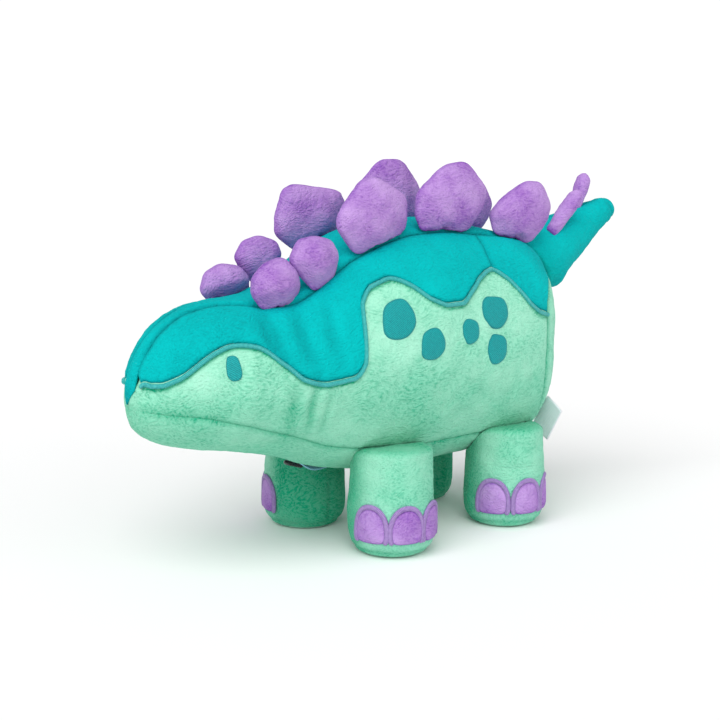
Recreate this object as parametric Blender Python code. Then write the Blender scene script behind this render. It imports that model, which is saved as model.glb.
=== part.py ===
"""Plush stegosaurus with a zipped belly, built as the sewn pieces of the real toy.

Shapes are written in millimetres and become metres when a mesh is made.
+X points to the tail, +Z is up, and the left flank of the animal faces -Y.
X is counted from the middle of the four feet while shapes are worked out; every mesh is then
moved so that the world origin lies under the middle of the whole toy.
"""
import bmesh
import bpy
from math import asin, cos, degrees, pi, radians, sin, sqrt, tan
from mathutils import Vector

MM = 0.001
MIDDLE_X = 0.4             # middle of the toy's length, from the middle of the four feet
LEFT, RIGHT = -1, 1
SIDES = {"left": LEFT, "right": RIGHT}

# Body outline: x, then height of the back, height of the belly, half width, squareness.
NOSE_X, NOSE_Z, NOSE_LENGTH = -174.5, 84.0, 45.0
RUMP_X, RUMP_Z, RUMP_LENGTH = 96.8, 95.0, 43.0
ZIP_ARC_X, ZIP_ARC_Z, ZIP_ARC_R = -12.0, 254.0, 220.0
BACK = [(-178, 128.5), (-141, 128), (-120, 128.6), (-105, 130.5), (-90, 136), (-75, 144.5), (-60, 152.5),
        (-40, 160), (-20, 164), (0, 165), (20, 163.5), (40, 160), (60, 156), (99, 150)]
BELLY_FRONT = [(-178, 58.5), (-150, 60), (-133, 58.5), (-120, 56), (-105, 52.5)]
BELLY_REAR = [(0, 34), (20, 34.5), (40, 36), (60, 39), (99, 43)]
HALF_WIDTH = [(-178, 34), (-141, 34.5), (-133, 36.3), (-120, 38), (-105, 39.5), (-90, 41.5), (-75, 44),
              (-60, 46.5), (-40, 49), (-20, 50.5), (0, 51), (20, 51), (40, 50), (60, 47.5), (99, 44)]
SQUARENESS = [(-178, 1.0), (15, 1.0), (60, 0.78), (99, 0.78)]

# Seams and layers on the body.
CLOTH = 1.4                # thickness of plush cloth with its backing
LAYER_GAP = 0.4            # between stacked pieces
SEAM_GAP = 0.7             # between neighbouring panels
STUFFING_GAP = 1.4         # between the stuffing and the cloth around it
TOP_SEAM_Y = [(-178, 4), (-150, 4.5), (-141, 6.2), (-125, 9.7), (-112, 15), (-100, 20), (-90, 22),
              (99, 22)]
LOW_SEAM_ANGLE = [(-178, 112), (-163, 116), (-150, 117.5), (-138, 121), (-123, 126), (-105, 131), (-79, 138),
                  (50, 138), (99, 130)]
HAUNCH_SEAM_X = 23.0
REAR_SEAM_X = 71.0
NOSE_START_X = -174.2
CAPE_EDGE = [(-171, 56), (-168, 69), (-164, 75), (-159.5, 74), (-150, 65), (-144, 60), (-136, 56.5),
             (-127, 59), (-114, 73), (-104, 85), (-91, 90), (-78, 90), (-71.5, 84), (-69.3, 68),
             (-66.5, 53), (-59, 47), (-50, 46.5), (-38, 54), (-28, 63), (-17, 67), (-8, 67), (1, 62),
             (11, 55), (22, 50.5), (30, 55.5), (38, 64), (46, 72), (56, 77), (71, 79)]
STITCH_WIDTH, STITCH_HEIGHT = 2.8, 1.3
EYE = {"x": -138.5, "angle": 76, "length": 7.0, "height": 11.0}
SPOTS = [(-50.0, 69, 19, 18), (-31.0, 84, 15.5, 14), (-4.0, 81, 12, 11.5), (15.5, 73, 19, 15.5),
         (15.0, 90, 14, 14)]
SPOT_HEIGHT = 0.8

# Zip in the belly.
ZIP_FRONT_X, ZIP_REAR_X = -86.0, -12.0
ZIP_SLOT_HALF, ZIP_TAPE_HALF, ZIP_TEETH_HALF = 4.6, 4.0, 1.6
SLIDER_LENGTH, SLIDER_HALF_WIDTH, SLIDER_HEIGHT = 9.5, 3.4, 2.4

# Legs.
HIP_X, HIP_Y, HIP_Z = 42.5, 34.0, 45.0
LEG_R, LEG_SWING, SHOULDER_Z = 21.5, 15.0, 54.0
SHOULDER_DROP = 12.0
HIP_CLEARANCE, SWING_MARGIN, SWING_SPREAD = 0.8, 1.5, 1.15
LEG_SIDES = 18             # corners around a leg and around the tail
SOLE_R, SOLE_THICK, ANKLE_Z = 14.5, 1.6, 13.0
NAIL_Z, NAIL_HEIGHT, NAIL_BRIDGE, NAIL_HALF_ANGLE = 8.0, 19.5, 2.0, 23.5
NAIL_THICK = 1.0
NAIL_ANGLES = {"front": (198, 247, 293), "rear": (206, 257, 305)}

# Tail, from its root ring to its tip: centre x and z, half height, half width, lean of the ring.
TAIL_RINGS = [(90.6, 140.8, 24.0, 18.0, 45), (101.5, 140.5, 24.0, 19.5, 38), (116.0, 145.5, 19.0, 17.5, 30),
              (131.0, 151.5, 15.5, 14.0, 26), (146.0, 158.5, 12.0, 11.0, 24), (160.0, 164.0, 9.0, 8.5, 24),
              (169.0, 167.0, 6.6, 6.2, 24), (173.5, 168.4, 3.6, 3.4, 24)]
TAIL_HINGE_X = 91.0

# Plates: where each stands on the seam, and its outline along the seam and above it.
PLATE_OUTLINES = {
    1: (-104, [(-9, 0), (-15, 5), (-15.5, 13), (-11, 20), (-3, 24), (4.5, 22.5), (11.5, 16.5), (14, 9),
               (11, 1), (8, 0)]),
    2: (-81, [(-2, 0), (-2.5, 6), (-4.5, 14), (-7, 21), (-5.5, 25.5), (1, 26.5), (11, 22), (15.5, 14),
              (15, 6), (10, 0)]),
    3: (-45, [(-13, 0), (-19, 8), (-21, 18), (-14, 27), (-2, 34), (9, 33.5), (21, 27), (27.5, 19), (26.5, 9),
              (18, 0)]),
    4: (7, [(-18, 0), (-24.5, 8), (-24, 18), (-17, 27), (-6, 33), (7, 35.5), (19, 33.5), (27, 25), (29.5, 15),
            (23, 6), (14, 0)]),
    5: (57, [(-14, 0), (-19.5, 9), (-16, 19), (-4, 26), (9, 33), (19, 34), (27, 28), (31, 16), (26, 6),
             (15, 0)]),
}
PLATE_HALF_THICK = 5.5
PLATE_LIFT = 2.4           # base of a plate above the cloth it is sewn to

# Spikes on the tail: base x, y, z and tip x, y, z.
SPIKES = {
    "tail_spike_left": ((108.5, -13.5, 161.5), (127.0, -13.5, 178.5)),
    "tail_spike_right": ((108.5, 13.5, 161.5), (127.0, 13.5, 178.5)),
    "tail_spike_end": ((141.0, 0.0, 172.5), (149.5, 0.0, 188.5)),
}
SPIKE_R = 4.8

# Label: middle of its sewn edge, the way it stands out, the way its sewn edge runs, and its size.
LABEL_AT = (79.4, -28.0, 55.8)
LABEL_OUT_WAY, LABEL_TALL_WAY = (-0.10, -0.87, -0.48), (0.05, -0.480, 0.870)
LABEL_OUT, LABEL_TALL, LABEL_THICK = 14.0, 20.0, 1.0

# Colours (linear) and finish.
MATERIALS = {
    "mint_plush": ((0.36, 0.80, 0.55), 0.95),
    "teal_plush": ((0.01, 0.52, 0.52), 0.95),
    "purple_plush": ((0.40, 0.20, 0.68), 0.95),
    "teal_thread": ((0.01, 0.38, 0.36), 0.55),
    "stuffing": ((0.92, 0.92, 0.90), 1.0),
    "zip_tape": ((0.35, 0.62, 0.80), 0.9),
    "zip_coil": ((0.03, 0.22, 0.42), 0.5),
    "zip_plastic": ((0.02, 0.02, 0.025), 0.4),
    "label_cloth": ((0.95, 0.95, 0.96), 0.8),
}


def curve_at(points, x):
    """Monotone cubic curve through (x, value) points."""
    if x <= points[0][0]:
        return points[0][1]
    if x >= points[-1][0]:
        return points[-1][1]
    i = max(k for k in range(len(points) - 1) if points[k][0] <= x)
    (x0, y0), (x1, y1) = points[i], points[i + 1]

    def slope(k):
        if k <= 0 or k >= len(points) - 1:
            return 0.0
        before = (points[k][1] - points[k - 1][1]) / (points[k][0] - points[k - 1][0])
        after = (points[k + 1][1] - points[k][1]) / (points[k + 1][0] - points[k][0])
        if before * after <= 0:
            return 0.0
        return 2 * before * after / (before + after)

    width = x1 - x0
    t = (x - x0) / width
    return (y0 * (1 + 2 * t) * (1 - t) ** 2 + y1 * t * t * (3 - 2 * t)
            + width * t * (1 - t) * (slope(i) * (1 - t) - slope(i + 1) * t))


def zip_line_z(x):
    """Height of the belly's middle line where the zip runs, an arc."""
    return ZIP_ARC_Z - sqrt(ZIP_ARC_R ** 2 - (x - ZIP_ARC_X) ** 2)


BELLY = BELLY_FRONT + [(x, zip_line_z(x)) for x in (-90, -75, -60, -45, -30, -12)] + BELLY_REAR


def closing(x, nose_power, nose_root, rump_power):
    """How far the body has closed towards the nose or the rump, from 1 down to 0."""
    nose = (NOSE_X + NOSE_LENGTH - x) / NOSE_LENGTH
    rump = (x - RUMP_X + RUMP_LENGTH) / RUMP_LENGTH
    if nose > 0:
        return max(0.0, 1 - min(nose, 1) ** nose_power) ** nose_root
    if rump > 0:
        return max(0.0, 1 - min(rump, 1) ** rump_power) ** (1 / rump_power)
    return 1.0


def section(x):
    """Middle height, half height, half width and squareness of the body at x."""
    close_z, close_y = closing(x, 2.0, 0.5, 3.0), closing(x, 1.3, 0.65, 2.0)
    end_z = NOSE_Z if x < 0 else RUMP_Z
    top = end_z + (curve_at(BACK, x) - end_z) * close_z
    low = end_z + (curve_at(BELLY, x) - end_z) * close_z
    return (top + low) / 2, (top - low) / 2, curve_at(HALF_WIDTH, x) * close_y, curve_at(SQUARENESS, x)


def signed_power(value, power):
    return abs(value) ** power * (1 if value >= 0 else -1)


def body_point(x, angle, out=0.0):
    """Point on the body at x and angle (degrees from the ridge, positive to +Y), moved out by out."""
    def on_surface(px, pa):
        mid, half, width, square = section(px)
        return Vector((px, width * signed_power(sin(radians(pa)), square),
                       mid + half * signed_power(cos(radians(pa)), square)))

    here = on_surface(x, angle)
    if out == 0.0:
        return here
    step = min(0.2, (x - NOSE_X) / 2, (RUMP_X - x) / 2)
    along = on_surface(x + step, angle) - on_surface(x - step, angle)
    around = on_surface(x, angle + 0.5) - on_surface(x, angle - 0.5)
    return here + along.cross(around).normalized() * out


def angle_of_y(x, y):
    """Angle from the ridge at which the upper body is y away from the middle plane."""
    _, _, width, square = section(x)
    return degrees(asin(min(0.85, (abs(y) / width) ** (1 / square))))


def angle_step(x, distance):
    """Angle that spans a distance around the flank at x."""
    _, half, width, _ = section(x)
    return degrees(distance / max(4.0, (half + width) / 2))


def belly_z(x, y):
    """Height of the underside of the body at x and y, and very high outside it."""
    mid, half, width, square = section(x)
    if abs(y) >= width:
        return 1000.0
    sine = (abs(y) / width) ** (1 / square)
    return mid - half * cos(asin(sine)) ** square


def top_seam(x):
    return angle_of_y(x, curve_at(TOP_SEAM_Y, x))


def low_seam(x):
    return curve_at(LOW_SEAM_ANGLE, x)


def stations(start, end, pitch=10.0):
    """Places along the body between two x values, closer together over the rounded ends."""
    nose_end, rump_start = NOSE_X + NOSE_LENGTH, RUMP_X - RUMP_LENGTH
    marks = [nose_end - NOSE_LENGTH * sin(radians(a)) for a in (84, 76, 67, 57, 46, 34, 22, 11)]
    count = round((rump_start - nose_end) / pitch)
    marks += [nose_end + (rump_start - nose_end) * k / count for k in range(count + 1)]
    marks += [rump_start + RUMP_LENGTH * sin(radians(a)) for a in (12, 24, 37, 49, 60, 70, 78, 85)]
    inner = [m for m in marks if start + 1.2 < m < end - 1.2]
    return [start] + inner + [end]


def material(name):
    if name in bpy.data.materials:
        return bpy.data.materials[name]
    colour, roughness = MATERIALS[name]
    made = bpy.data.materials.new(name)
    made.use_nodes = True
    shader = made.node_tree.nodes["Principled BSDF"]
    shader.inputs["Base Color"].default_value = (*colour, 1.0)
    shader.inputs["Roughness"].default_value = roughness
    shader.inputs["Metallic"].default_value = 0.0
    made.diffuse_color = (*colour, 1.0)
    return made


def add_object(name, points, faces, slot, pivot=(0.0, 0.0, 0.0)):
    """Make one closed piece from millimetre points; pivot (mm) becomes the object's origin."""
    shift = Vector((MIDDLE_X, 0.0, 0.0))
    centre = Vector(pivot) - shift if any(pivot) else Vector()
    mesh = bpy.data.meshes.new(name)
    mesh.from_pydata([(Vector(p) - shift - centre) * MM for p in points], [], faces)
    shape = bmesh.new()
    shape.from_mesh(mesh)
    bmesh.ops.remove_doubles(shape, verts=shape.verts, dist=1e-6)
    bmesh.ops.dissolve_degenerate(shape, edges=shape.edges, dist=1e-6)
    bmesh.ops.recalc_face_normals(shape, faces=shape.faces)
    shape.to_mesh(mesh)
    shape.free()
    piece = bpy.data.objects.new(name, mesh)
    piece.location = centre * MM
    bpy.context.collection.objects.link(piece)
    mesh.materials.append(material(slot))
    return piece


def grid_faces(rows, columns, start, wrap):
    """Quads of a grid of points numbered row by row."""
    faces = []
    for r in range(rows - 1):
        for c in range(columns if wrap else columns - 1):
            d = (c + 1) % columns
            faces.append((start + r * columns + c, start + r * columns + d,
                          start + (r + 1) * columns + d, start + (r + 1) * columns + c))
    return faces


def rim_faces(loop_a, loop_b):
    count = len(loop_a)
    return [(loop_a[k], loop_a[(k + 1) % count], loop_b[(k + 1) % count], loop_b[k]) for k in range(count)]


def border(rows, columns, start):
    """Point numbers around the edge of an open grid, in order."""
    bottom = [c for c in range(columns)]
    right = [r * columns + columns - 1 for r in range(1, rows)]
    top = [(rows - 1) * columns + c for c in range(columns - 2, -1, -1)]
    left = [r * columns for r in range(rows - 2, 0, -1)]
    return [start + k for k in bottom + right + top + left]


def add_panel(name, outer, inner, slot, pivot=(0.0, 0.0, 0.0)):
    """Cloth panel between two open grids of points of the same size."""
    rows, columns = len(outer), len(outer[0])
    size = rows * columns
    points = [p for row in outer for p in row] + [p for row in inner for p in row]
    faces = grid_faces(rows, columns, 0, False) + grid_faces(rows, columns, size, False)
    faces += rim_faces(border(rows, columns, 0), border(rows, columns, size))
    return add_object(name, points, faces, slot, pivot)


def add_tube(name, rings, slot, pivot=(0.0, 0.0, 0.0)):
    """Closed solid through rings of equal size; the first and last rings are capped."""
    size = len(rings[0])
    points = [p for ring in rings for p in ring]
    faces = grid_faces(len(rings), size, 0, True)
    faces += [tuple(range(size)), tuple(range((len(rings) - 1) * size, len(rings) * size))]
    return add_object(name, points, faces, slot, pivot)


def skin(places, low, high, count, out):
    """Grid of body points: low(x) to high(x) in count steps at each place."""
    return [[body_point(x, low(x) + (high(x) - low(x)) * k / count, out) for k in range(count + 1)]
            for x in places]


def add_body_panel(name, places, low, high, count, slot, top=0.0, thick=CLOTH):
    add_panel(name, skin(places, low, high, count, top), skin(places, low, high, count, top - thick), slot)


def build_body_cloth():
    """The sewn skin: gusset along the spine, two flanks, rump, and underside with its zip slot."""
    places = stations(NOSE_START_X, REAR_SEAM_X)

    def seam_step(x):
        return angle_step(x, SEAM_GAP / 2)

    add_body_panel("top_gusset", places, lambda x: seam_step(x) - top_seam(x),
                   lambda x: top_seam(x) - seam_step(x), 4, "teal_plush")
    for word, side in SIDES.items():
        add_body_panel(f"side_panel_{word}", places, lambda x, s=side: s * (top_seam(x) + seam_step(x)),
                       lambda x, s=side: s * (low_seam(x) - seam_step(x)), 11, "mint_plush")
    build_underside(places, seam_step)
    build_rump()


def build_underside(places, seam_step):
    """Chin and belly gusset, with a slot that the zip closes."""
    places = sorted(set([x for x in places if abs(x - ZIP_FRONT_X) > 3 and abs(x - ZIP_REAR_X) > 3]
                        + [ZIP_FRONT_X, ZIP_REAR_X]))
    half = 3
    columns = 2 * half + 2

    def angles(x):
        """Angles across the underside; the middle two are the edges of the slot."""
        _, _, width, _ = section(x)
        slot = degrees(asin(min(0.6, ZIP_SLOT_HALF / width)))
        start = low_seam(x) + seam_step(x)
        right = [start + (180 - slot - start) * k / half for k in range(half + 1)]
        return right + [360 - a for a in reversed(right)]

    layers = []
    for out in (0.0, -CLOTH):
        layers.append([[body_point(x, a, out) for a in angles(x)] for x in places])
    size = len(places) * columns
    points = [p for layer in layers for row in layer for p in row]
    first, last = places.index(ZIP_FRONT_X), places.index(ZIP_REAR_X)

    def in_slot(face):
        row, column = divmod(min(face) % size, columns)
        return first <= row < last and column == half

    faces = grid_faces(len(places), columns, 0, False) + grid_faces(len(places), columns, size, False)
    faces = [f for f in faces if not in_slot(f)]
    faces += rim_faces(border(len(places), columns, 0), border(len(places), columns, size))
    slot_edge = [r * columns + half for r in range(first, last + 1)]
    slot_edge += [r * columns + half + 1 for r in range(last, first - 1, -1)]
    faces += rim_faces(slot_edge, [size + k for k in slot_edge])
    add_object("underside_panel", points, faces, "mint_plush")


def build_rump():
    """Domed panel behind the rear seam."""
    places = stations(REAR_SEAM_X + SEAM_GAP, RUMP_X - 0.15)
    around = [360 * k / 24 for k in range(24)]
    outer = [[body_point(x, a) for a in around] for x in places]
    inner = [[body_point(x, a, -CLOTH) for a in around] for x in places[:-1]]
    add_tube("rump_panel", list(reversed(inner)) + outer, "mint_plush")


def build_stuffing():
    places = stations(NOSE_START_X + 5.0, RUMP_X - 2.5)
    around = [360 * k / 22 for k in range(22)]
    add_tube("body_stuffing", [[body_point(x, a, -CLOTH - STUFFING_GAP) for a in around] for x in places],
             "stuffing")


def cape_edge(x):
    return curve_at(CAPE_EDGE, x)


def build_cape():
    """Teal applique on each flank, in front of and behind the haunch seam, with its satin edge."""
    top = LAYER_GAP + 1.0
    front = [x for x in stations(CAPE_EDGE[0][0], HAUNCH_SEAM_X - SEAM_GAP / 2, 5.0)]
    front = sorted(front + [-73.5, -70.4, -68.0])
    rear = stations(HAUNCH_SEAM_X + SEAM_GAP / 2, REAR_SEAM_X - 0.4, 5.0)
    for word, side in SIDES.items():
        def edge_at(x, step, s=side):
            """Angle of the cape's edge at x, moved down the flank by step."""
            return s * (cape_edge(x) + angle_step(x, step))

        for name, places in (("cape", front), ("haunch_cape", rear)):
            add_body_panel(f"{name}_{word}", places, lambda x, s=side: s * (top_seam(x) + angle_step(x, 2.0)),
                           lambda x: edge_at(x, -0.2), 6, "teal_plush", top, 1.0)
        add_body_panel(f"edge_stitch_{word}", sorted(set(front + rear)), lambda x: edge_at(x, 0.3),
                       lambda x: edge_at(x, 0.3 + STITCH_WIDTH), 2, "teal_thread",
                       LAYER_GAP + STITCH_HEIGHT, STITCH_HEIGHT)


def add_patch(name, x, angle, length, height, side):
    """Raised oval of embroidery on the flank."""
    count, rings = 14, (1.0, 0.5)
    tilt = angle_step(x, 1.0)

    def ring(scale, out):
        points = []
        for k in range(count):
            turn = 2 * pi * k / count
            at = side * (angle + height / 2 * tilt * scale * sin(turn))
            points.append(body_point(x + length / 2 * scale * cos(turn), at, out))
        return points

    lower = [ring(r, LAYER_GAP) for r in reversed(rings)]
    upper = [ring(r, LAYER_GAP + SPOT_HEIGHT * (1 - 0.5 * r ** 3)) for r in rings]
    add_tube(name, lower + upper, "teal_thread")


def build_embroidery():
    for word, side in SIDES.items():
        add_patch(f"eye_{word}", EYE["x"], EYE["angle"], EYE["length"], EYE["height"], side)
        for number, (x, angle, length, height) in enumerate(SPOTS, 1):
            add_patch(f"spot_{number}_{word}", x, angle, length, height, side)


def zip_grid(start, end, half, low, high):
    """Two grids of points over the belly's middle line, half wide, between two depths."""
    count = 14
    places = [start + (end - start) * k / count for k in range(count + 1)]

    def row(x, out):
        mid = Vector((ZIP_ARC_X, 0.0, ZIP_ARC_Z))
        down = (Vector((x, 0.0, zip_line_z(x))) - mid).normalized()
        centre = mid + down * (ZIP_ARC_R + out)
        return [centre + Vector((0.0, y, 0.0)) for y in (-half, 0.0, half)]

    return [row(x, high) for x in places], [row(x, low) for x in places]


def build_zip():
    """Tape, teeth and a pull-less slider, all on one arc."""
    tape = zip_grid(ZIP_FRONT_X + 0.6, ZIP_REAR_X - 0.6, ZIP_TAPE_HALF, -1.3, -0.5)
    teeth = zip_grid(ZIP_FRONT_X + 1.5, ZIP_REAR_X - 1.5, ZIP_TEETH_HALF, -0.1, 1.2)
    slider = zip_grid(ZIP_FRONT_X + 3.0, ZIP_FRONT_X + 3.0 + SLIDER_LENGTH, SLIDER_HALF_WIDTH,
                      1.7, 1.7 + SLIDER_HEIGHT)
    add_panel("zip_tape", *tape, "zip_tape")
    add_panel("zip_teeth", *teeth, "zip_coil")
    add_panel("zip_slider", *slider, "zip_plastic", (ZIP_ARC_X, 0.0, ZIP_ARC_Z))


def leg_radius(z):
    """Leg radius at height z: round at the ankle, a little slimmer towards the hip."""
    if z < ANKLE_Z:
        part = (ANKLE_Z - z) / ANKLE_Z
        return SOLE_R + (LEG_R - SOLE_R) * sqrt(1 - part ** 2)
    return LEG_R - 1.5 * (z - ANKLE_Z) / (SHOULDER_Z - ANKLE_Z)


def leg_top(hip, x, y, inset):
    """Highest point of the leg under the body that still swings freely about the hip."""
    swing = (abs(x - hip.x) + SWING_MARGIN) * tan(radians(LEG_SWING))
    free = belly_z(hip.x + (x - hip.x) * SWING_SPREAD, y) - HIP_CLEARANCE - swing
    share = Vector((x - hip.x, y - hip.y)).length / LEG_R
    dome = SHOULDER_Z - SHOULDER_DROP * share ** 7
    return min(dome, free) - inset


def leg_ring(hip, radius, inset, z=None):
    """Ring around the leg at height z, or lying on its top when z is not given."""
    points = []
    for k in range(LEG_SIDES):
        turn = 2 * pi * k / LEG_SIDES
        x, y = hip.x + radius * cos(turn), hip.y + radius * sin(turn)
        top = leg_top(hip, x, y, inset)
        points.append(Vector((x, y, top if z is None else min(z, top))))
    return points


def leg_rings(hip, inset):
    """Rings of the leg's outside, from the sole's edge up to the middle of its top."""
    base = SOLE_THICK + LAYER_GAP + inset
    heights = [base, base + 1.4, base + 3.6, base + 6.5, base + 11.0, 27]
    rings = [leg_ring(hip, leg_radius(z) - inset, inset, z) for z in heights]
    rim = leg_radius(30) - inset
    rings += [leg_ring(hip, rim * r, inset) for r in (1.0, 0.93, 0.8, 0.6, 0.35, 0.12)]
    return rings


def build_leg(place, word):
    """One leg: cloth tube closed at the top, its stuffing, sole and row of toenails."""
    side = SIDES[word]
    hip = Vector((HIP_X * (-1 if place == "front" else 1), side * HIP_Y, HIP_Z))
    outer = leg_rings(hip, 0.0)
    inner = leg_rings(hip, CLOTH)
    inner[0] = [Vector((p.x, p.y, SOLE_THICK + LAYER_GAP)) for p in inner[0]]
    name = f"{place}_{word}"
    add_tube(f"leg_{name}", list(reversed(inner)) + outer, "mint_plush", hip)
    add_tube(f"leg_stuffing_{name}", leg_rings(hip, CLOTH + 3 * STUFFING_GAP), "stuffing", hip)
    sole = []
    for radius, z in ((SOLE_R - 1.2, 0.0), (SOLE_R + 1.0, 0.8), (SOLE_R + 2.0, SOLE_THICK)):
        sole.append([Vector((hip.x + radius * cos(2 * pi * k / LEG_SIDES),
                             hip.y + radius * sin(2 * pi * k / LEG_SIDES), z)) for k in range(LEG_SIDES)])
    add_tube(f"sole_{name}", sole, "mint_plush", hip)
    build_toenails(name, hip, side, NAIL_ANGLES[place])


def build_toenails(name, hip, side, angles):
    """Three rounded nails around the front of a foot, joined along their stitched foot edge."""
    start, end = angles[0] - NAIL_HALF_ANGLE, angles[-1] + NAIL_HALF_ANGLE
    count, rows = 33, 3

    def height(turn):
        near = min(abs(turn - a) for a in angles)
        part = min(1.0, near / NAIL_HALF_ANGLE)
        return NAIL_BRIDGE + (NAIL_HEIGHT - NAIL_BRIDGE) * sqrt(1 - part ** 2.4)

    def point(turn, row, out):
        z = NAIL_Z + height(turn) * row / rows
        radius = leg_radius(z) + out
        return Vector((hip.x + radius * cos(radians(turn)), hip.y - side * radius * sin(radians(turn)), z))

    turns = [start + (end - start) * k / count for k in range(count + 1)]
    outer = [[point(t, r, LAYER_GAP + 0.1 + NAIL_THICK) for r in range(rows + 1)] for t in turns]
    inner = [[point(t, r, LAYER_GAP + 0.1) for r in range(rows + 1)] for t in turns]
    add_panel(f"toenails_{name}", outer, inner, "purple_plush", hip)


def tail_ring(values, inset):
    x, z, half, width, lean = values
    slope = radians(lean)
    ring = []
    for k in range(LEG_SIDES):
        turn = 2 * pi * k / LEG_SIDES
        up = (half - inset) * cos(turn)
        ring.append(Vector((x - up * sin(slope), (width - inset) * sin(turn), z + up * cos(slope))))
    return ring


def build_tail():
    """Tapered tail that can swing sideways at its root, and its stuffing."""
    pivot = (TAIL_HINGE_X, 0.0, TAIL_RINGS[0][1])
    x, z, half, width, lean = TAIL_RINGS[0]
    outer = [tail_ring(v, 0.0) for v in TAIL_RINGS]
    inner_values = [(x + 2.2, z + 1.0, half, width, lean)] + TAIL_RINGS[1:-1]
    inner = [tail_ring(v, CLOTH) for v in inner_values]
    core = [tail_ring(v, CLOTH + STUFFING_GAP) for v in inner_values]
    add_tail_cover(outer, inner, pivot)
    add_tube("tail_stuffing", core, "stuffing", pivot)


def add_tail_cover(outer, inner, pivot):
    """Cloth cone with an open root, so that its stuffing is held but not sealed in."""
    points = [p for ring in list(reversed(inner)) + outer for p in ring]
    size = len(outer[0])
    total = len(inner) + len(outer)
    faces = grid_faces(total, size, 0, True)
    faces += [tuple(range(size)), tuple(range((total - 1) * size, total * size))]
    add_object("tail_cover", points, faces, "teal_plush", pivot)


def plate_frame(number, side):
    """Seam point under a plate, direction along the seam, upward direction, and height of its base."""
    x = PLATE_OUTLINES[number][0]
    seam = [body_point(x + dx, side * top_seam(x + dx)) for dx in (-12.0, 0.0, 12.0)]
    along = (seam[2] - seam[0])
    along.y = 0.0
    along.normalize()
    up = Vector((0.0, -1.0, 0.0)).cross(along) * -1
    if up.z < 0:
        up = -up
    lift = max((p - seam[1]).dot(up) for p in seam) + PLATE_LIFT
    return seam[1], along, up, lift


def smooth_outline(points, steps=2):
    """Closed Catmull-Rom curve through the points."""
    count = len(points)
    result = []
    for k in range(count):
        p0, p1, p2, p3 = (Vector(points[(k + d) % count]) for d in (-1, 0, 1, 2))
        for s in range(steps):
            t = s / steps
            result.append(0.5 * (2 * p1 + (p2 - p0) * t + (2 * p0 - 5 * p1 + 4 * p2 - p3) * t * t
                                 + (3 * p1 - p0 - 3 * p2 + p3) * t ** 3))
    return result


def build_plate(number, word):
    """Stuffed pad on the seam between the gusset and the flank, thin at its sewn base."""
    side = SIDES[word]
    seam, along, up, lift = plate_frame(number, side)
    across = along.cross(up)
    outline = [Vector((p.x, max(p.y, lift))) for p in smooth_outline(PLATE_OUTLINES[number][1])]
    middle = sum(outline, Vector((0.0, 0.0))) / len(outline)

    def ring(scale, face):
        thick = 0.5 + PLATE_HALF_THICK * (1 - scale ** 2.6) ** 0.6
        return [seam + along * (middle.x + (p.x - middle.x) * scale)
                + up * (middle.y + (p.y - middle.y) * scale) + across * (face * thick) for p in outline]

    scales = (0.4, 0.75, 0.93, 1.0)
    rings = [ring(s, -1) for s in scales] + [ring(s, 1) for s in reversed(scales)]
    add_tube(f"plate_{number}_{word}", rings, "purple_plush", seam + up * lift)


def build_spike(name):
    """Stuffed finger standing on the tail, rounded at both ends."""
    foot, tip = Vector(SPIKES[name][0]), Vector(SPIKES[name][1])
    direction = (tip - foot).normalized()
    sideways = direction.cross(Vector((0.0, 1.0, 0.0))).normalized()
    other = direction.cross(sideways)
    length = (tip - foot).length
    shape = [(0.0, 0.25), (0.06, 0.62), (0.2, 0.92), (0.5, 1.0), (0.8, 0.95), (0.93, 0.66), (1.0, 0.25)]
    rings = []
    for part, scale in shape:
        rings.append([foot + direction * length * part
                      + (sideways * cos(2 * pi * k / 12) + other * sin(2 * pi * k / 12)) * SPIKE_R * scale
                      for k in range(12)])
    add_tube(name, rings, "purple_plush", foot)


def build_label():
    """Folded cloth label standing out of the rear seam."""
    foot = Vector(LABEL_AT)
    out, tall = Vector(LABEL_OUT_WAY).normalized(), Vector(LABEL_TALL_WAY).normalized()
    across = out.cross(tall).normalized()
    rings = [[foot + tall * (LABEL_TALL * t) + out * o + across * (LABEL_THICK * a)
              for o, a in ((0, -0.5), (LABEL_OUT, -0.5), (LABEL_OUT, 0.5), (0, 0.5))] for t in (-0.5, 0.5)]
    add_tube("label", rings, "label_cloth", foot)


def main():
    for old in list(bpy.data.objects):
        bpy.data.objects.remove(old, do_unlink=True)
    build_stuffing()
    build_body_cloth()
    build_cape()
    build_embroidery()
    build_zip()
    for place in ("front", "rear"):
        for word in SIDES:
            build_leg(place, word)
    build_tail()
    for word in SIDES:
        for number in PLATE_OUTLINES:
            build_plate(number, word)
    for name in SPIKES:
        build_spike(name)
    build_label()


main()
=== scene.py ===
"""Plush stegosaurus: sewn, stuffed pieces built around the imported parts.

Shapes are written in millimetres, with x from the middle of the four feet, and become metres when
a mesh is made. The nose is at -X, the tail at +X, and the left flank faces -Y.
"""
from math import cos, pi, radians, sin

import bmesh
import bpy
import numpy as np
from mathutils import Matrix, Vector


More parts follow.
